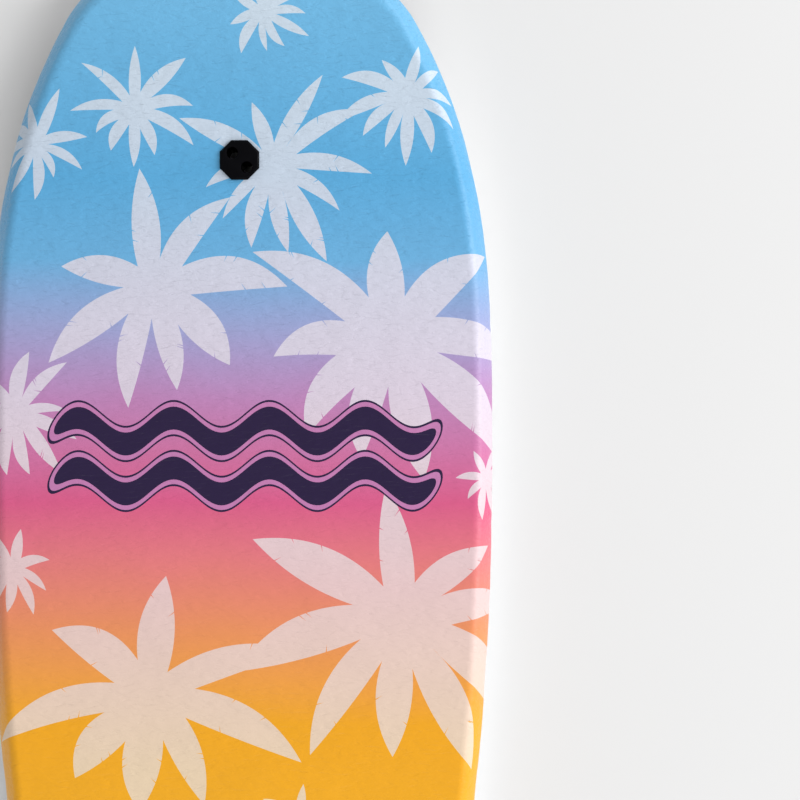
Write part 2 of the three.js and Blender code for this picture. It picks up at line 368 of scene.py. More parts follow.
def crown_outline(fronds, seed):
    draw = random.Random(seed)
    outline = []
    for number, (notch, tip, swell_out, swell_back) in enumerate(fronds):
        next_notch = fronds[(number + 1) % len(fronds)][0]
        edges = ((notch, tip, swell_out, SLIT_LEAN), (tip, next_notch, swell_back, -SLIT_LEAN))
        for start, end, swell, lean in edges:
            points = frond_edge(start, end, swell)
            if len(points) > LONG_EDGE:
                places = draw.sample(range(len(points) // 4, len(points) * 4 // 5), draw.choice((1, 2)))
                for at in sorted(places, reverse=True):
                    cut_slit(points, at, draw.uniform(*SLIT_DEPTH), lean)
            outline += points
    return outline


CROWNS = (
    ((35, 308), 108, 11, 20, 11),
    ((-105, 365), 74, 10, 0, 12),
    ((168, 378), 74, 11, -10, 13),
    ((-85, 185), 140, 8, 15, 14),
    ((150, 130), 185, 9, 5, 45),
    ((165, -150), 190, 9, 10, 16),
    ((-90, -225), 165, 8, -8, 17),
    ((60, -352), 48, 9, 0, 18),
    ((250, -5), 46, 8, 25, 19),
    ((-205, 330), 62, 10, -30, 20),
    ((25, 462), 52, 10, 60, 21),
    ((-222, 60), 74, 10, 40, 22),
    ((-228, -95), 60, 9, -20, 23),
    ((-215, -400), 80, 10, 15, 24),
    ((175, -425), 88, 11, -25, 25),
    ((-40, -455), 72, 10, 30, 26),
)
palms = [crown_outline(palm_crown(*row), number) for number, row in enumerate(CROWNS)]
print(f"{len(palms)} crowns, {sum(len(p) for p in palms)} outline points")

# %% [markdown]
# Across the middle of the deck go two navy wave ribbons, a plain water motif. Each has a mauve gap and
# a thin navy contour round it, so one rule draws all three by growing the same ribbon outwards.

# %% Wave ribbons
RIBBON_LEFT = -186.0
RIBBON_RIGHT = 197.0
RIBBON_Y = 18.5
RIBBON_APART = 50.0
WAVE_LENGTH = 96.0
WAVE_HEIGHT = 13.0
RIBBON_HALF = 11.5
MAUVE_GAP = 4.6
CONTOUR = 2.1
RIBBON_SAMPLES = 181
END_POWER = 20
END_HALF = 0.05


def ribbon_outline(middle_y, grow):
    """A waving band with rounded ends, grown outwards by a distance. The samples crowd at its ends."""
    left, right = RIBBON_LEFT - grow, RIBBON_RIGHT + grow
    u = np.sin(np.linspace(-math.pi / 2, math.pi / 2, RIBBON_SAMPLES))
    x = (left + right) / 2 + u * (right - left) / 2
    half = (RIBBON_HALF + grow) * np.sqrt(np.clip(1 - u**END_POWER, 0, 1)) + END_HALF
    middle = middle_y + WAVE_HEIGHT * np.sin(2 * math.pi * (x - RIBBON_LEFT) / WAVE_LENGTH)
    lower = list(zip(x, middle - half))
    upper = list(zip(x[::-1], (middle + half)[::-1]))
    return lower + upper


ribbon_middles = (RIBBON_Y - RIBBON_APART / 2, RIBBON_Y + RIBBON_APART / 2)
navy_bands = [ribbon_outline(y, 0) for y in ribbon_middles]
mauve_bands = [ribbon_outline(y, MAUVE_GAP) for y in ribbon_middles]
contour_bands = [ribbon_outline(y, MAUVE_GAP + CONTOUR) for y in ribbon_middles]
print(f"ribbons: {RIBBON_RIGHT - RIBBON_LEFT:.0f} mm long")

# %% [markdown]
# A sheet with crisp printed edges needs mesh edges along every ink line. A constrained triangulation
# does this in one call: it takes scattered points and closed outlines, and keeps each outline's edges.
# It also says which outlines each triangle lies in, and that becomes the ink. Rings of points follow
# the rim so that the crease and the bevel bend smoothly, and a hexagonal grid fills the flat.

# %% Triangulate a sheet
HOLE_OFFSET = 7.25
STEM_R = 7.05
INK_CLEAR = 1.3
SAME_POINT = 1e-6
HOLES = ((-HOLE_OFFSET, PLUG_Y + HOLE_OFFSET), (HOLE_OFFSET, PLUG_Y - HOLE_OFFSET))


def circle(x, y, r, count):
    angles = 2 * math.pi * np.arange(count) / count
    return [(x + r * math.cos(a), y + r * math.sin(a)) for a in angles]


def rim_loop(inset, step):
    """A loop at a constant distance inside the rim, or outside it where the inset is negative."""
    every = max(1, round(step / RIM_STEP))
    return [tuple(p) for p in (RIM + INWARD * inset)[::every]]


def hex_grid(spacing, keep_in):
    """Points of a hexagonal grid that lie at least keep_in inside the rim."""
    rows = []
    for number, y in enumerate(np.arange(-HALF, HALF, spacing * math.sqrt(3) / 2)):
        shift = spacing / 2 * (number % 2)
        rows.append([(x + shift, y) for x in np.arange(-WIDTH / 2, WIDTH / 2, spacing)])
    points = np.array([p for row in rows for p in row])
    distance = rim_frame(points)[0]
    return points[distance > keep_in]


def away_from(points, outlines, clear):
    """Drops the points that lie too near any outline, which would make slivers."""
    marks = [p for outline in outlines for p in outline]
    tree = kdtree.KDTree(len(marks))
    for number, (x, y) in enumerate(marks):
        tree.insert((x, y, 0), number)
    tree.balance()
    return [tuple(p) for p in points if tree.find((p[0], p[1], 0))[2] > clear]


def triangulate(border, holes, outlines, points):
    """Triangles between the border and the holes, as points, triangles and each triangle's outlines."""
    loops = [border, *holes, *outlines]
    verts = [Vector(p) for loop in loops for p in loop]
    faces = []
    start = 0
    for loop in loops:
        faces.append(list(range(start, start + len(loop))))
        start += len(loop)
    verts += [Vector(p) for p in points]
    made = geometry.delaunay_2d_cdt(verts, [], faces, 1, SAME_POINT, True)
    first_ink = 1 + len(holes)
    kept, inks = [], []
    for triangle, inside in zip(made[2], made[5]):
        if 0 in inside and not any(0 < loop < first_ink for loop in inside):
            kept.append(triangle)
            inks.append({loop - first_ink for loop in inside if loop >= first_ink})
    return np.array([tuple(v) for v in made[0]]), kept, inks


print("grid points at 12 mm:", len(hex_grid(12, 20)))

# %% [markdown]
# The wall of the film is closed by hand instead of with Solidify: the underside doesn't show, so it
# gets a coarse grid of its own and keeps only the border points of the top. The two are joined by a
# narrow band round the border and round each hole, and the body is one closed shell.

# %% Close a sheet into a body
HOLE_SIDES = 28
BORDER_IN = 0.01
GRID_MARGIN = 0.8  # of the spacing, between the rings and the grid
COARSER_BELOW = 4
SHEET_SHARP = math.radians(50)


def border_edges(triangles):
    """Edges that only one triangle has, in that triangle's own direction."""
    seen = {}
    for a, b, c in triangles:
        for edge in ((a, b), (b, c), (c, a)):
            seen[edge] = True
    return [edge for edge in seen if edge[::-1] not in seen]


def chain(edges):
    """Border edges joined end to end into closed loops of point numbers."""
    following = dict(edges)
    loops = []
    while following:
        start, at = next(iter(following.items()))
        del following[start]
        loop = [start]
        while at != start:
            loop.append(at)
            at = following.pop(at)
        loops.append(loop)
    return loops


def mesh_object(name, points, faces):
    mesh = bpy.data.meshes.new(name)
    mesh.from_pydata([tuple(p) for p in points], [], faces)
    obj = bpy.data.objects.new(name, mesh)
    scene.collection.objects.link(obj)
    return obj


def loose_points(spacing, outlines):
    """Rings that follow the crease and bevel, and a grid on the flat, clear of the outlines."""
    rings = [p for run in SECTION_RUN[:-1] for p in rim_loop(FLAT_IN - run, spacing)]
    grid = hex_grid(spacing, FLAT_IN + GRID_MARGIN * spacing)
    return away_from(np.array([*rings, *grid]), outlines, INK_CLEAR)


def deck_sheet(name, outer_depth, thick, spacing, outlines=(), even_below=False):
    """A layer that follows the deck and bevel: the object, and the outlines round each top triangle."""
    border = rim_loop(-SHEET_OUT + BORDER_IN, spacing)
    holes = [circle(x, y, STEM_R + GAP, HOLE_SIDES) for x, y in HOLES]
    loose = loose_points(spacing, [border, *holes, *outlines])
    flat, top, inks = triangulate(border, holes, outlines, loose)
    loops = chain(border_edges(top))
    loops.sort(key=len, reverse=True)
    around = [[tuple(flat[i]) for i in loop] for loop in loops]
    loose = loose_points(COARSER_BELOW * spacing, around)
    below_flat, below, _ = triangulate(around[0], [hole[::-1] for hole in around[1:]], [], loose)
    place = {tuple(np.round(p, 5)): i for i, p in enumerate(below_flat)}
    count = len(flat)
    faces = [list(t) for t in top]
    faces += [[count + i for i in reversed(t)] for t in below]
    for loop in loops:
        for a, b in zip(loop, loop[1:] + loop[:1]):
            under_a = count + place[tuple(np.round(flat[a], 5))]
            under_b = count + place[tuple(np.round(flat[b], 5))]
            faces.append([b, a, under_a, under_b])
    underside = wrap(below_flat, outer_depth + thick, not even_below)
    obj = mesh_object(name, np.vstack([wrap(flat, outer_depth, True), underside]), faces)
    obj.data.shade_smooth()
    obj.data.set_sharp_from_angle(angle=SHEET_SHARP)
    print(f"{name}: {len(top)} triangles on top, {len(below)} below")
    return obj, inks


# %% [markdown]
# The deck film is the outermost sheet. Its printed shapes are laid over each other in the order that a
# screen printer would use: palms, then the thin contour, the mauve gap and the navy ribbon. Each
# triangle gets its ink as a colour attribute on its corners, which no neighbour blurs.

# %% Deck film with its print
FILM_SPACING = 3.6
ink_shapes = [*palms, *contour_bands, *mauve_bands, *navy_bands]
first_contour = len(palms)
first_mauve = first_contour + len(contour_bands)
first_navy = first_mauve + len(mauve_bands)
film, film_inks = deck_sheet("printed_deck_film", 0, FILM_THICK, FILM_SPACING, ink_shapes)


def ink_of(shapes):
    """Palm white, navy and mauve shares of a triangle, from the shapes that it lies in."""
    if any(s >= first_navy for s in shapes):
        return (0.0, 1.0, 0.0, 1.0)
    if any(s >= first_mauve for s in shapes):
        return (0.0, 0.0, 1.0, 1.0)
    if any(s >= first_contour for s in shapes):
        return (0.0, 1.0, 0.0, 1.0)
    return (1.0, 0.0, 0.0, 1.0) if shapes else (0.0, 0.0, 0.0, 1.0)


inks = film.data.color_attributes.new("ink", "FLOAT_COLOR", "CORNER")
shares = np.zeros((len(film.data.loops), 4), dtype=np.float32)
shares[:, 3] = 1.0
for number, shapes in enumerate(film_inks):
    shares[3 * number : 3 * number + 3] = ink_of(shapes)
inks.data.foreach_set("color", shares.ravel())
print("printed triangles:", int(shares[::3, 0].sum()), "palm,", int(shares[::3, 1].sum()), "navy")

# %% [markdown]
# Shader helpers. A material is a small tree of nodes. One helper adds a node, sets its inputs and links
# them, and the others name the few kinds of node that come up again and again: sums, noise, a blend of
# two colours, and a change of range. Building trees in code keeps each finish short enough to read.

# %% Node helpers
def group_with(name, inputs, outputs):
    tree = bpy.data.node_groups.new(name, "ShaderNodeTree")
    for label, kind, value in inputs:
        socket = tree.interface.new_socket(label, in_out="INPUT", socket_type=kind)
        if value is not None:
            socket.default_value = value
    for label, kind in outputs:
        tree.interface.new_socket(label, in_out="OUTPUT", socket_type=kind)
    return tree, tree.nodes.new("NodeGroupInput"), tree.nodes.new("NodeGroupOutput")


def node(tree, kind, inputs=None, **settings):
    made = tree.nodes.new(kind)
    for key, value in settings.items():
        setattr(made, key, value)
    for key, value in (inputs or {}).items():
        if isinstance(value, bpy.types.NodeSocket):
            tree.links.new(value, made.inputs[key])
        else:
            made.inputs[key].default_value = value
    return made


def maths(tree, operation, *values):
    return node(tree, "ShaderNodeMath", dict(enumerate(values)), operation=operation).outputs[0]


def blend_colours(tree, share, first, second, mode="MIX"):
    made = node(tree, "ShaderNodeMix", {0: share, 6: first, 7: second}, data_type="RGBA", blend_type=mode)
    return made.outputs[2]


def noise_at(tree, vector, scale, detail=2.0, roughness=0.5, distortion=0.0):
    values = {"Vector": vector, "Scale": scale, "Detail": detail, "Roughness": roughness}
    return node(tree, "ShaderNodeTexNoise", {**values, "Distortion": distortion}).outputs["Fac"]


def stretched(tree, vector, scale):
    return node(tree, "ShaderNodeMapping", {"Vector": vector, "Scale": scale}).outputs[0]


def remap(tree, value, from_low, from_high, to_low=0.0, to_high=1.0):
    limits = {1: from_low, 2: from_high, 3: to_low, 4: to_high}
    return node(tree, "ShaderNodeMapRange", {0: value, **limits}).outputs[0]


def linear(r, g, b):
    """An ordinary 0 to 255 colour as the linear values that shaders use."""
    parts = [v / 255 for v in (r, g, b)]
    return (*[p / 12.92 if p <= 0.04045 else ((p + 0.055) / 1.055) ** 2.4 for p in parts], 1.0)


print("mid grey in linear light:", round(linear(128, 128, 128)[0], 3))

# %% [markdown]
# The effects are node groups, each built once and placed in a material with its own values: the fine
# wrinkles of a laminated film, closed foam cells, long fine scratches, and a slow drift of tone. Each
# takes the object's own coordinates, because every piece keeps its place in its mesh, and gives back
# only a height, a mask or a colour. The shader itself stays in the material.

# %% Shared effects
VECTOR, VALUE, COLOUR = "NodeSocketVector", "NodeSocketFloat", "NodeSocketColor"


def make_film_wrinkles():
    """Short soft creases that run across the board, with a fine grain between them."""
    tree, given, result = group_with(
        "film_wrinkles", [("Place", VECTOR, None), ("Fine", VALUE, 0.5)], [("Height", VALUE)]
    )
    place = given.outputs["Place"]
    creases = noise_at(tree, stretched(tree, place, (0.24, 1.0, 0.8)), 270.0, 2.0, 0.5, 0.5)
    broad = noise_at(tree, stretched(tree, place, (0.55, 1.0, 1.0)), 110.0, 2.0, 0.5, 0.4)
    folded = maths(tree, "ABSOLUTE", maths(tree, "SUBTRACT", creases, 0.5))
    ridge = maths(tree, "SUBTRACT", 0.5, maths(tree, "MULTIPLY", folded, 2.0))
    grain = noise_at(tree, place, 620.0, 1.0, 0.5, 0.0)
    total = maths(tree, "MULTIPLY_ADD", creases, 0.8, maths(tree, "MULTIPLY", ridge, 0.18))
    total = maths(tree, "MULTIPLY_ADD", broad, 0.6, total)
    total = maths(tree, "MULTIPLY_ADD", grain, maths(tree, "MULTIPLY", given.outputs["Fine"], 0.2), total)
    tree.links.new(total, result.inputs["Height"])
    return tree


def make_foam_cells():
    """Packed closed cells: a height, and a mask of painted shade in the low grooves along the cell walls."""
    tree, given, result = group_with(
        "foam_cells",
        [("Place", VECTOR, None), ("Scale", VALUE, 900.0)],
        [("Height", VALUE), ("Groove shade", VALUE)],
    )
    cells = {"Vector": given.outputs["Place"], "Scale": given.outputs["Scale"], "Randomness": 0.9}
    walls = node(tree, "ShaderNodeTexVoronoi", cells, feature="DISTANCE_TO_EDGE").outputs["Distance"]
    domes = node(tree, "ShaderNodeTexVoronoi", cells, feature="SMOOTH_F1").outputs["Distance"]
    height = maths(tree, "SUBTRACT", 1.0, maths(tree, "MULTIPLY", domes, 0.8))
    tree.links.new(height, result.inputs["Height"])
    # Painted shade: the mask is one in the grooves along the cell walls, where the height is lowest.
    groove_shade = remap(tree, walls, 0.0, 0.12, 1.0, 0.0)
    tree.links.new(groove_shade, result.inputs["Groove shade"])
    return tree


def make_fine_scratches():
    """Thin broken lines along the board, as a mask."""
    tree, given, result = group_with("fine_scratches", [("Place", VECTOR, None)], [("Mask", VALUE)])
    place = given.outputs["Place"]
    lines = noise_at(tree, stretched(tree, place, (1.0, 0.012, 0.02)), 900.0, 2.0, 0.6, 0.0)
    thin = remap(tree, lines, 0.6, 0.7)
    patches = noise_at(tree, stretched(tree, place, (1.0, 0.4, 0.0)), 14.0)
    where = remap(tree, patches, 0.45, 0.65, 0.1, 1.0)
    tree.links.new(maths(tree, "MULTIPLY", thin, where), result.inputs["Mask"])
    return tree


def make_tone_drift():
    """A colour that grows a little lighter and darker over the surface."""
    tree, given, result = group_with(
        "tone_drift",
        [("Place", VECTOR, None), ("Colour", COLOUR, None), ("Amount", VALUE, 0.05)],
        [("Colour", COLOUR)],
    )
    drift = noise_at(tree, given.outputs["Place"], 18.0, 3.0, 0.55, 0.0)
    centred = maths(tree, "MULTIPLY", maths(tree, "SUBTRACT", drift, 0.5), given.outputs["Amount"])
    level = maths(tree, "MULTIPLY_ADD", centred, 2.0, 1.0)
    grey = node(tree, "ShaderNodeCombineColor", {0: level, 1: level, 2: level}).outputs[0]
    tree.links.new(
        blend_colours(tree, 1.0, given.outputs["Colour"], grey, "MULTIPLY"), result.inputs["Colour"]
    )
    return tree


film_wrinkles = make_film_wrinkles()
foam_cells = make_foam_cells()
fine_scratches = make_fine_scratches()
tone_drift = make_tone_drift()
print("groups:", [g.name for g in (film_wrinkles, foam_cells, fine_scratches, tone_drift)])

# %% [markdown]
# Every finish starts from an empty tree with the object's coordinates and ends in one Principled shader.
# What changes over the surface is linked to it, and what is constant is set on its own sockets. The
# finest relief, such as wrinkles and grain, is a bump, because mesh that fine would be far too heavy.

# %% A material's start and end
def begin_material(name):
    material = bpy.data.materials.new(name)
    material.use_nodes = True
    tree = material.node_tree
    tree.nodes.clear()
    place = node(tree, "ShaderNodeTexCoord").outputs["Object"]
    return material, tree, place


def effect(tree, group, **inputs):
    return node(tree, "ShaderNodeGroup", inputs, node_tree=group)


def end_material(tree, colour, roughness, height=None, depth=0.0, strength=1.0, **constants):
    values = {"Base Color": colour, "Roughness": roughness}
    for key, value in constants.items():
        values[key.replace("_", " ").title().replace("Ior", "IOR")] = value
    surface = node(tree, "ShaderNodeBsdfPrincipled", values)
    if height is not None:
        bump = node(tree, "ShaderNodeBump", {"Height": height, "Distance": depth, "Strength": strength})
        tree.links.new(bump.outputs[0], surface.inputs["Normal"])
    node(tree, "ShaderNodeOutputMaterial", {"Surface": surface.outputs[0]})


def ramp(tree, share, stops):
    made = node(tree, "ShaderNodeValToRGB", {"Fac": share})
    elements = made.color_ramp.elements
    while len(elements) < len(stops):
        elements.new(0.5)
    for element, (at, colour) in zip(elements, stops):
        element.position = at
        element.color = linear(*colour)
    return made.outputs[0]


print("coral in linear light:", [round(v, 2) for v in linear(234, 138, 120)[:3]])

# %% [markdown]
# The print's ground fades along the board: sky blue at the nose, lilac, rose across the middle, coral
# and golden yellow at the tail. A colour ramp over the board's length gives the fade. The palms are a
# thin white over the same ground, so they have a ramp of their own, paler and slower. Both ramps grow
# paler again at the nose tip: painted sheen of the lifted nose over the print. The ink of each
# triangle comes from the mesh, so the edges stay sharp at any distance. The film is satin: a thin coat
# and some sheen whiten the bevel, where it is seen aslant.

# %% Printed film
FADE_FROM = -520.0
FADE_TO = 520.0
# Each fade's last stop, at the nose tip, is paler than the one before it: painted sheen of the lifted nose
# over the print.
GROUND_FADE_AND_NOSE_SHEEN = [
    (-520, (231, 172, 25)), (-250, (231, 160, 17)), (-160, (224, 139, 86)),
    (-80, (217, 113, 120)), (-28, (208, 86, 130)), (75, (181, 125, 175)),
    (150, (149, 157, 201)), (215, (101, 167, 211)), (300, (84, 162, 209)),
    (520, (111, 179, 219)),
]
PALM_FADE_AND_NOSE_SHEEN = [
    (-520, (223, 200, 167)), (-300, (222, 199, 169)), (-110, (219, 189, 189)),
    (80, (209, 197, 212)), (300, (189, 202, 218)), (520, (194, 210, 223)),
]
FADE_WAVER = 0.016
NAVY = (28, 6, 55)
MAUVE = (186, 118, 168)


def fade_stops(rows):
    return [((y - FADE_FROM) / (FADE_TO - FADE_FROM), colour) for y, colour in rows]


def printed_film():
    material, tree, place = begin_material("printed_film")
    y = node(tree, "ShaderNodeSeparateXYZ", {0: place}).outputs["Y"]
    soft = noise_at(tree, place, 9.0)
    y = maths(tree, "MULTIPLY_ADD", maths(tree, "SUBTRACT", soft, 0.5), FADE_WAVER, y)
    share = remap(tree, y, FADE_FROM * MM, FADE_TO * MM)
    ink = node(tree, "ShaderNodeVertexColor", layer_name="ink").outputs["Color"]
    inks = node(tree, "ShaderNodeSeparateColor", {0: ink}).outputs
    # Both ramps carry the painted sheen at the nose tip.
    ground_and_sheen, palm = (ramp(tree, share, fade_stops(rows)) for rows in (GROUND_FADE_AND_NOSE_SHEEN, PALM_FADE_AND_NOSE_SHEEN))
    colour = blend_colours(tree, inks[0], ground_and_sheen, palm)
    colour = blend_colours(tree, inks[1], colour, linear(*NAVY))
    colour = blend_colours(tree, inks[2], colour, linear(*MAUVE))
    colour = effect(tree, tone_drift, Place=place, Colour=colour, Amount=0.05).outputs[0]
    height = effect(tree, film_wrinkles, Place=place, Fine=0.6).outputs[0]
    towards_nose = remap(tree, y, -0.1, 0.25, 1.15, 1.9)
    height = maths(tree, "MULTIPLY", height, towards_nose)
    worn = noise_at(tree, place, 45.0, 3.0, 0.6, 0.0)
    roughness = remap(tree, worn, 0.3, 0.7, 0.34, 0.46)
    end_material(
        tree, colour, roughness, height, depth=0.0009, strength=0.9, specular_ior_level=0.22,
        coat_weight=0.25, coat_roughness=0.36, sheen_weight=0.5, sheen_roughness=0.35,
    )
    return material


film.data.materials.append(printed_film())
print("film material slots:", len(film.data.materials))

# %% [markdown]
# The lower rail is closed by four strips of skinned foam. A strip follows the rim with one section, so
# it is a sweep: Geometry Nodes turns a line of rim points into a curve, sweeps a rounded four-sided
# section along it, and then lifts every point by the nose rocker. The strips share one tree and
# differ only in their line.

# %% Rail strips with Geometry Nodes
STRIP_LOW = SLICK_THICK + GAP
STRIP_HIGH = APEX_Z - GAP
STRIP_ROUND = 1.3
NOSE_STRIP_Y = 462.0
TAIL_STRIP_Y = -474.0


def strip_inset(z):
    return LOWER_IN * (APEX_Z - z) / APEX_Z


def rail_strip_tree():
    tree = bpy.data.node_groups.new("rail_strip", "GeometryNodeTree")
    sockets = {}
    for label, kind in (
        ("Line", "NodeSocketGeometry"), ("Thickness", VALUE), ("Low", VALUE), ("High", VALUE),
        ("Inset low", VALUE), ("Inset high", VALUE), ("Corner", VALUE), ("Rocker start", VALUE),
        ("Rocker length", VALUE), ("Bottom lift", VALUE), ("Lift loss", VALUE), ("Power", VALUE),
        ("Foam", "NodeSocketMaterial"),
    ):
        sockets[label] = tree.interface.new_socket(label, in_out="INPUT", socket_type=kind).identifier
    tree.interface.new_socket("Strip", in_out="OUTPUT", socket_type="NodeSocketGeometry")
    given = tree.nodes.new("NodeGroupInput").outputs
    result = tree.nodes.new("NodeGroupOutput")
    line = node(tree, "GeometryNodeMeshToCurve", {0: given["Line"]}).outputs[0]
    line = node(tree, "GeometryNodeSetCurveNormal", {0: line}, mode="Z_UP").outputs[0]

    def section_point(inset, z):
        """The curve's frame points out and down, so both distances are turned round."""
        values = {0: maths(tree, "MULTIPLY", inset, -1.0), 1: maths(tree, "MULTIPLY", z, -1.0)}
        return node(tree, "ShaderNodeCombineXYZ", values).outputs[0]

    inner_high = maths(tree, "ADD", given["Inset high"], given["Thickness"])
    inner_low = maths(tree, "ADD", given["Inset low"], given["Thickness"])
    section = node(tree, "GeometryNodeCurvePrimitiveQuadrilateral", {
        "Point 1": section_point(inner_high, given["High"]),
        "Point 2": section_point(given["Inset high"], given["High"]),
        "Point 3": section_point(given["Inset low"], given["Low"]),
        "Point 4": section_point(inner_low, given["Low"]),
    }, mode="POINTS").outputs[0]
    section = node(tree, "GeometryNodeFilletCurve", {0: section, "Radius": given["Corner"], "Count": 4},
                   mode="POLY").outputs[0]
    swept = node(tree, "GeometryNodeCurveToMesh", {0: line, 1: section, "Fill Caps": True}).outputs[0]
    position = node(tree, "GeometryNodeInputPosition").outputs[0]
    at = node(tree, "ShaderNodeSeparateXYZ", {0: position}).outputs
    past_start = maths(tree, "SUBTRACT", at[1], given["Rocker start"])
    run = maths(tree, "DIVIDE", past_start, given["Rocker length"])
    rise = maths(tree, "POWER", maths(tree, "MAXIMUM", run, 0.0), given["Power"])
    lift = maths(tree, "SUBTRACT", given["Bottom lift"], maths(tree, "MULTIPLY", at[2], given["Lift loss"]))
    offset = node(tree, "ShaderNodeCombineXYZ", {2: maths(tree, "MULTIPLY", rise, lift)}).outputs[0]
    lifted = node(tree, "GeometryNodeSetPosition", {0: swept, "Offset": offset}).outputs[0]
    smooth = node(tree, "GeometryNodeSetShadeSmooth", {0: lifted}).outputs[0]
    plain = node(tree, "GeometryNodeRealizeInstances", {0: smooth}).outputs[0]
    painted = node(tree, "GeometryNodeSetMaterial", {0: plain, "Material": given["Foam"]}).outputs[0]
    tree.links.new(painted, result.inputs[0])
    return tree, sockets


strip_tree, strip_inputs = rail_strip_tree()
print("strip inputs:", list(strip_inputs))

# %% [markdown]
# The foams are matt, with cells that show close up. One function makes all of them from a packed-cell
# pattern: the cells' height gives the bump, and the grooves along their walls get a little painted shade.
# The rail foam has a skin and is smoother than the cut foam under the film, and the cells are under a
# millimetre in both.

# %% Foam finishes
# How dark the painted shade in the grooves between the cells is.
WALL_SHADE = 0.86


def foam_material(name, colour, cells, depth, roughness, groove_shade_share):
    """A matt foam: cells per metre, the bump's depth in metres, and the strength of painted shade in cell
    grooves.
    """
    material, tree, place = begin_material(name)
    packed = effect(tree, foam_cells, Place=place, Scale=cells)
    tone_and_groove_shade = effect(tree, tone_drift, Place=place, Colour=linear(*colour), Amount=0.04).outputs[0]
    # Painted shade: a darker copy of the foam's colour for the grooves along the cell walls.
    shade = linear(*[int(v * WALL_SHADE) for v in colour])
    tone_and_groove_shade = blend_colours(tree, maths(tree, "MULTIPLY", packed.outputs["Groove shade"], groove_shade_share), tone_and_groove_shade, shade)
    broad = noise_at(tree, place, 140.0)
    height = maths(tree, "MULTIPLY_ADD", broad, 1.5, packed.outputs["Height"])
    end_material(tree, tone_and_groove_shade, roughness, height, depth=depth, strength=0.6)
    return material


rail_foam = foam_material("rail_foam", (233, 235, 237), 1100.0, 0.00022, 0.5, 0.35)
skin_foam = foam_material("skin_foam", (236, 236, 232), 1500.0, 0.00018, 0.62, 0.5)
print("foams:", rail_foam.name, skin_foam.name)

# %% [markdown]
# Each strip's line is the stretch of rim that it follows. The sizes go in by the sockets' identifiers
# before the tree first runs, in metres. The result is then copied to a plain mesh, and the object with
# the modifier is removed, so that nothing is left to run again.

# %% Sweep the four strips
def rim_line(keep):
    """The unbroken run of rim points that a test keeps, with every second point left out."""
    kept = [keep(x, y) for x, y in RIM]
    start = next(i for i in range(len(kept)) if kept[i] and not kept[i - 1])
    run = []
    while kept[(start + len(run)) % len(kept)]:
        run.append(RIM[(start + len(run)) % len(kept)])
    return run[::2] if len(run) % 2 else [*run[::2], run[-1]]


def rail_strip(name, line):
    mesh = bpy.data.meshes.new(name + "_line")
    points = [(x * MM, y * MM, 0.0) for x, y in line]
    mesh.from_pydata(points, [(i, i + 1) for i in range(len(points) - 1)], [])
    path = bpy.data.objects.new(name + "_line", mesh)
    scene.collection.objects.link(path)
    modifier = path.modifiers.new("sweep", "NODES")
    modifier.node_group = strip_tree
    values = {
        "Thickness": STRIP_THICK * MM, "Low": STRIP_LOW * MM, "High": STRIP_HIGH * MM,
        "Inset low": strip_inset(STRIP_LOW) * MM, "Inset high": strip_inset(STRIP_HIGH) * MM,
        "Corner": STRIP_ROUND * MM, "Rocker start": ROCKER_START_Y * MM,
        "Rocker length": (HALF - ROCKER_START_Y) * MM, "Bottom lift": BOTTOM_LIFT * MM,
        "Lift loss": (BOTTOM_LIFT - DECK_LIFT) / THICKNESS, "Power": ROCKER_POWER, "Foam": rail_foam,
    }
    for label, value in values.items():
        modifier[strip_inputs[label]] = value
    return plain_copy(path, name)


def plain_copy(source, name):
    """The evaluated result of an object's modifiers as a plain mesh object. The source is used up."""
    evaluated = source.evaluated_get(bpy.context.evaluated_depsgraph_get())
    mesh = bpy.data.meshes.new_from_object(evaluated)
    mesh.name = name
    made = bpy.data.objects.new(name, mesh)
    scene.collection.objects.link(made)
    bpy.data.objects.remove(source)
    return made


def beside(y):
    return TAIL_STRIP_Y + GAP < y < NOSE_STRIP_Y - GAP


rails = {
    "right_rail": rail_strip("right_rail_foam_swept", rim_line(lambda x, y: x > 0 and beside(y))),
    "left_rail": rail_strip("left_rail_foam_swept", rim_line(lambda x, y: x < 0 and beside(y))),
    "nose_strip": rail_strip("nose_strip_swept", rim_line(lambda x, y: y > NOSE_STRIP_Y + GAP)),
    "tail_strip": rail_strip("tail_strip_swept", rim_line(lambda x, y: y < TAIL_STRIP_Y - GAP)),
}


def compare_with_frame(piece, node_name):
    """Prints how far each side of a piece's box is from its CAD node's box, in millimetres."""
    points = np.array([v.co for v in piece.data.vertices])
    low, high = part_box(node_name)
    off = [*(points.min(0) - np.array(low)), *(points.max(0) - np.array(high))]
    print(f"{piece.name}: box differs by {[round(float(v) / MM, 1) for v in off]} mm")


for name, piece in rails.items():
    compare_with_frame(piece, name)

# %% [markdown]
# Under the film lies the deck foam, a soft skin with the same shape 0.8 mm further in. It only shows at
# the tucked edge, so it gets a coarser mesh from the same function.

# %% Deck foam
FOAM_DEPTH = FILM_THICK + GAP
FOAM_SPACING = 6.0
deck_foam, _ = deck_sheet("soft_deck_foam", FOAM_DEPTH, SKIN_THICK, FOAM_SPACING, even_below=True)
deck_foam.data.materials.append(skin_foam)
compare_with_frame(deck_foam, "deck_foam")
compare_with_frame(film, "deck_film")

# %% [markdown]
# The bottom has two flat sheets, a thin foam backing and the hard slick. Each is one outline with an
# octagonal seat for the leash plug, triangulated once and used for both faces. The slick's edge is
# rounded with a Bevel modifier, as a router would leave it, and the result is kept as a plain mesh.

# %% Flat sheets of the bottom
PLUG_ACROSS = 39.6
SHEET_STEP = 12.0
SEAT_CLEAR = 3.0
EDGE_ROUND = 0.45
ROUND_FROM = math.radians(32)
SHARP_FROM = math.radians(38)


def octagon(across):
    """The plug's outline, with flats square to the board's sides."""
    reach = across / 2 / math.cos(math.pi / 8)
    turns = [math.pi / 8 + k * math.pi / 4 for k in range(8)]
    return [(reach * math.cos(a), PLUG_Y + reach * math.sin(a)) for a in turns]


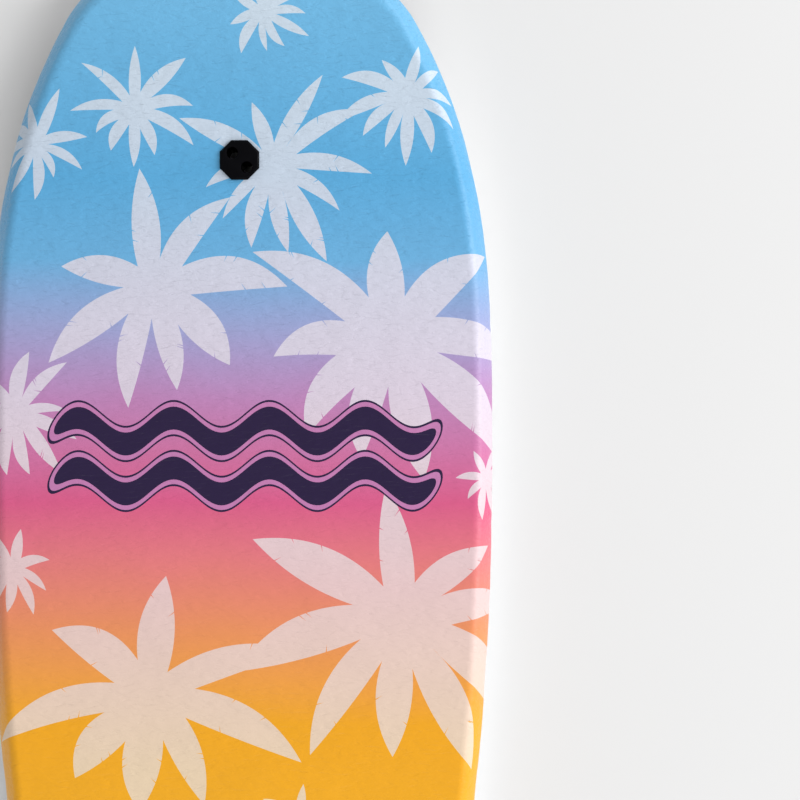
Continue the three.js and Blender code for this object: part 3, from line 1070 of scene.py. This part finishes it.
def bottom_sheet(name, inset, low, high):
    border = rim_loop(inset, 3)
    seat = octagon(PLUG_ACROSS + 2 * GAP)
    loose = away_from(hex_grid(SHEET_STEP, inset + SHEET_STEP / 2), [border, seat], SEAT_CLEAR)
    flat, triangles, _ = triangulate(border, [seat], [], loose)
    count = len(flat)
    faces = [list(t) for t in triangles] + [[count + i for i in reversed(t)] for t in triangles]
    for a, b in border_edges(triangles):
        faces.append([b, a, count + a, count + b])
    layers = [np.column_stack([flat, z + rocker_lift(flat[:, 1], z)]) for z in (high, low)]
    return mesh_object(name, np.vstack(layers) * MM, faces)


def rounded(obj, width, segments, name):
    """A rounded copy as a plain mesh, smooth but for edges that stay sharp."""
    bevel = obj.modifiers.new("round", "BEVEL")
    bevel.width = width * MM
    bevel.segments = segments
    bevel.limit_method = "ANGLE"
    bevel.angle_limit = ROUND_FROM
    made = plain_copy(obj, name)
    made.data.shade_smooth()
    made.data.set_sharp_from_angle(angle=SHARP_FROM)
    return made


slick = rounded(bottom_sheet("slick_blank", LOWER_IN, 0.0, SLICK_THICK), EDGE_ROUND, 3, "slick_sheet")
backing_low = SLICK_THICK + GAP
backing_inset = strip_inset(backing_low) + STRIP_THICK + 2 * GAP
backing = bottom_sheet("bottom_foam_backing", backing_inset, backing_low, backing_low + BACKING_THICK)
backing.data.materials.append(skin_foam)
compare_with_frame(slick, "bottom_slick")
compare_with_frame(backing, "bottom_foam")

# %% [markdown]
# The slick is a hard, glossy sheet that slides over sand and stone, so its look is a plain deep navy
# with thin scratches along the board. A scratch is a little paler and rougher than the sheet.

# %% Slick material
SLICK_NAVY = (36, 58, 122)
SCRATCH_PALE = (82, 104, 160)


def slick_material():
    material, tree, place = begin_material("slick_sheet")
    scratched = effect(tree, fine_scratches, Place=place).outputs[0]
    plain = effect(tree, tone_drift, Place=place, Colour=linear(*SLICK_NAVY), Amount=0.08).outputs[0]
    mark = maths(tree, "MULTIPLY", scratched, 0.4)
    colour = blend_colours(tree, mark, plain, linear(*SCRATCH_PALE))
    haze = noise_at(tree, place, 30.0, 3.0, 0.6)
    base = remap(tree, haze, 0.3, 0.7, 0.24, 0.36)
    roughness = maths(tree, "MULTIPLY_ADD", scratched, 0.25, base)
    ripple = noise_at(tree, place, 24.0, 1.0, 0.5)
    height = maths(tree, "MULTIPLY_ADD", scratched, -0.08, ripple)
    end_material(tree, colour, roughness, height, depth=0.0006, strength=0.6)
    return material


slick.data.materials.append(slick_material())
print("slick:", len(slick.data.polygons), "faces")

# %% [markdown]
# The leash plug is two black mouldings. The top half is an octagonal flange with a chamfered rim and
# two hollow stems that reach down through the board. The base half is an octagonal block let into the
# slick, with a bore for each stem and a groove between the holes that the cord's loop lies in. Rings of
# points make the plain bodies and booleans join and cut them, which is how such a moulding is drawn.

# %% Leash plug bodies
FLANGE_LOW = THICKNESS + GAP
FLANGE_HIGH = 58.6
FLANGE_CHAMFER = 1.7
HOLE_R = 5.75
STEM_LOW = 4.0
BASE_LOW = 0.6
BASE_HIGH = 8.6
BORE_LOW = BASE_LOW + 3.1
CUT_PAST = 2.0  # how far a cutter runs past the face that it opens
SUNK_IN = 1.0  # how far two joined or two cut shapes overlap
GROOVE_WIDE = 7.0
GROOVE_DEEP = 2.4
ROUND_SIDES = 72
MOULD_ROUND = 0.35


def stacked(name, rings):
    """A closed body through rings of equal point counts, given from the lowest up as (points, z)."""
    count = len(rings[0][0])
    points = [(x * MM, y * MM, z * MM) for ring, z in rings for x, y in ring]
    faces = [list(range(count))[::-1], [count * (len(rings) - 1) + i for i in range(count)]]
    for level in range(len(rings) - 1):
        start = level * count
        for i in range(count):
            j = (i + 1) % count
            faces.append([start + i, start + j, start + count + j, start + count + i])
    return mesh_object(name, points, faces)


def round_bars(radius, low, high):
    return [
        stacked("bar", [(circle(x, y, radius, ROUND_SIDES), z) for z in (low, high)]) for x, y in HOLES
    ]


def combined(obj, tools, operation):
    """obj joined with or cut by the tools, as a plain mesh. The tools are used up."""
    for tool in tools:
        step = obj.modifiers.new(operation.lower(), "BOOLEAN")
        step.operation = operation
        step.solver = "EXACT"
        step.object = tool
    made = plain_copy(obj, obj.name + "_made")
    for tool in tools:
        bpy.data.objects.remove(tool)
    return made


def plug_top():
    flange = stacked("flange", [
        (octagon(PLUG_ACROSS), FLANGE_LOW),
        (octagon(PLUG_ACROSS), FLANGE_HIGH - FLANGE_CHAMFER),
        (octagon(PLUG_ACROSS - 2 * FLANGE_CHAMFER), FLANGE_HIGH),
    ])
    joined = combined(flange, round_bars(STEM_R, STEM_LOW, FLANGE_HIGH - SUNK_IN), "UNION")
    bores = round_bars(HOLE_R, STEM_LOW - CUT_PAST, FLANGE_HIGH + CUT_PAST)
    bored = combined(joined, bores, "DIFFERENCE")
    return rounded(bored, MOULD_ROUND, 3, "leash_plug_flange_and_stems")


def groove_bar():
    """The box that cuts the cord's groove, turned to run from hole to hole."""
    along = np.array([HOLE_OFFSET, -HOLE_OFFSET])
    across = np.array([GROOVE_WIDE, GROOVE_WIDE]) / 2 / math.sqrt(2)
    middle = np.array([0.0, PLUG_Y])
    corners = [middle + s * along + t * across for s, t in ((-1, -1), (1, -1), (1, 1), (-1, 1))]
    return stacked("groove", [(corners, BASE_LOW - CUT_PAST), (corners, BASE_LOW + GROOVE_DEEP)])


def plug_base():
    block = stacked("block", [(octagon(PLUG_ACROSS), BASE_LOW), (octagon(PLUG_ACROSS), BASE_HIGH)])
    bores = round_bars(STEM_R + GAP, BORE_LOW, BASE_HIGH + CUT_PAST)
    cord_holes = round_bars(HOLE_R, -CUT_PAST, BORE_LOW + SUNK_IN)
    cut = combined(block, [*bores, *cord_holes, groove_bar()], "DIFFERENCE")
    return rounded(cut, MOULD_ROUND, 3, "leash_plug_base_block")


plug_pieces = {"leash_plug_top": plug_top(), "leash_plug_base": plug_base()}
for name, piece in plug_pieces.items():
    compare_with_frame(piece, name)

# %% [markdown]
# The plug is a dull black moulding. Its finish has a fine even grain, as a spark-eroded mould leaves,
# and a roughness that drifts a little where fingers and cord have rubbed it. Little light is reflected,
# so that the two holes stay only just darker than the face.

# %% Plug plastic
def plug_material():
    material, tree, place = begin_material("plug_plastic")
    colour = effect(tree, tone_drift, Place=place, Colour=linear(3, 3, 6), Amount=0.1).outputs[0]
    grain = noise_at(tree, place, 1800.0, 2.0, 0.6)
    worn = noise_at(tree, place, 160.0, 3.0, 0.6)
    roughness = remap(tree, worn, 0.3, 0.7, 0.36, 0.5)
    end_material(tree, colour, roughness, grain, depth=0.00012, strength=0.5, specular_ior_level=0.06)
    return material


plug_plastic = plug_material()
for piece in plug_pieces.values():
    piece.data.materials.append(plug_plastic)
print("plug faces:", [len(p.data.polygons) for p in plug_pieces.values()])

# %% [markdown]
# The core is a blank cut from a block of fused beads. The frame already holds its shape, so a merged
# copy of that mesh is rounded slightly at its edges, as a hot wire leaves them, and given a material
# whose cells are the beads, 3 to 4 mm across.

# %% Bead foam core
CORE_ROUND = 0.4
SAME_CORNER = 0.01
BEADS_PER_METRE = 270.0


def bead_core():
    mesh = bpy.data.meshes.new("core_blank")
    form = bmesh.new()
    form.from_mesh(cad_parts["foam_core"].data)
    bmesh.ops.remove_doubles(form, verts=form.verts, dist=SAME_CORNER * MM)
    form.to_mesh(mesh)
    form.free()
    blank = bpy.data.objects.new("core_blank", mesh)
    scene.collection.objects.link(blank)
    return rounded(blank, CORE_ROUND, 2, "bead_foam_core")


core = bead_core()
core_foam = foam_material("core_foam", (246, 246, 244), BEADS_PER_METRE, 0.0006, 0.6, 0.7)
core.data.materials.append(core_foam)
compare_with_frame(core, "foam_core")

# %% [markdown]
# The studio: a plain pale floor that the board lies on, a large low soft light from the right that
# brightens the right-hand bevel, smaller ones from the tail and past the nose, and an even white
# surround that fills the shadows. The colours are shown with the Standard view, so that the print keeps
# its own strength. A light's row gives its place and aim in metres, its size and its watts.

# %% Floor and lights
FLOOR_SIZE = 14.0
FLOOR_Z = -0.0004
FLOOR_GREY = (222, 222, 222)
SURROUND = 0.575
SOFTBOXES = (
    ("key_softbox", (5.0, 0.6, 2.8), (0.15, 0.0, 0.05), (3.0, 4.0), 235),
    ("tail_softbox", (0.6, -5.0, 3.8), (0.0, 0.0, 0.05), (3.4, 2.2), 100),
    ("nose_softbox", (3.6, 3.6, 1.9), (0.2, 0.3, 0.05), (2.6, 1.8), 60),
)


def studio_floor():
    half = FLOOR_SIZE / 2
    corners = [(x * half, y * half, FLOOR_Z) for x, y in ((-1, -1), (1, -1), (1, 1), (-1, 1))]
    floor = mesh_object("studio_floor", corners, [[0, 1, 2, 3]])
    material, tree, _ = begin_material("studio_floor")
    end_material(tree, linear(*FLOOR_GREY), 0.9)
    floor.data.materials.append(material)


def softbox(name, place, aim, size, watts):
    data = bpy.data.lights.new(name, "AREA")
    data.shape = "RECTANGLE"
    data.size, data.size_y = size
    data.energy = watts
    lamp = bpy.data.objects.new(name, data)
    scene.collection.objects.link(lamp)
    lamp.location = place
    lamp.rotation_euler = (Vector(aim) - Vector(place)).to_track_quat("-Z", "Y").to_euler()
    return lamp


studio_floor()
softboxes = [softbox(*row) for row in SOFTBOXES]
world = bpy.data.worlds.new("white_surround")
scene.world = world
world.use_nodes = True
surround = world.node_tree.nodes["Background"]
surround.inputs["Color"].default_value = (1.0, 1.0, 1.0, 1.0)
surround.inputs["Strength"].default_value = SURROUND
scene.view_settings.view_transform = "Standard"
print("lights:", [lamp.data.energy for lamp in softboxes], "W")

# %% [markdown]
# The camera looks straight down with the nose up, from 2.6 m above the deck, and stands a little to
# the right and nose side of the middle. The view is tight: there is room beside the right rail, the left
# rail just reaches the edge, and the nose and the tail run out of it.

# %% Camera
SPAN = 0.8016  # metres of deck across the view
CAMERA_X = 0.1608
CAMERA_Y = 0.0746
CAMERA_HEIGHT = 2.6
SENSOR = 36.0
lens_data = bpy.data.cameras.new("overhead_camera")
lens_data.sensor_width = SENSOR
lens_data.lens = SENSOR * CAMERA_HEIGHT / SPAN
camera = bpy.data.objects.new("overhead_camera", lens_data)
scene.collection.objects.link(camera)
camera.location = (CAMERA_X, CAMERA_Y, THICKNESS * MM + CAMERA_HEIGHT)
scene.camera = camera
print(f"lens {lens_data.lens:.1f} mm")

# %% [markdown]
# Last, each piece is tied to the frame: it rides on the board's one body and stands for its CAD node,
# which is hidden. The foam layers fill their room completely.

# %% Tie the pieces to the frame
finishes = [
    (film, "deck_film", "printed_film", False),
    (deck_foam, "deck_foam", "skin_foam", True),
    (core, "foam_core", "core_foam", True),
    (backing, "bottom_foam", "skin_foam", True),
    (slick, "bottom_slick", "slick_sheet", False),
    *[(piece, name, "rail_foam", True) for name, piece in rails.items()],
    *[(piece, name, "plug_plastic", False) for name, piece in plug_pieces.items()],
]
for piece, name, finish, soft in finishes:
    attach(piece, "root")
    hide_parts(name)
print("triangles:", {p.name: sum(len(f.vertices) - 2 for f in p.data.polygons) for p, *_ in finishes})

# %% [markdown]
# A piece that is to be printed or weighed has to be closed. An edge that doesn't join exactly two faces
# is open, and a positive volume says that the faces point outwards.

# %% Open edges and volumes
CUBIC_CM = 1e6


def open_edges(piece):
    form = bmesh.new()
    form.from_mesh(piece.data)
    count = sum(not e.is_manifold for e in form.edges)
    volume = form.calc_volume(signed=True)
    form.free()
    return count, round(volume * CUBIC_CM, 1)


print("open edges and volume in cm3:", {p.name: open_edges(p) for p, *_ in finishes})
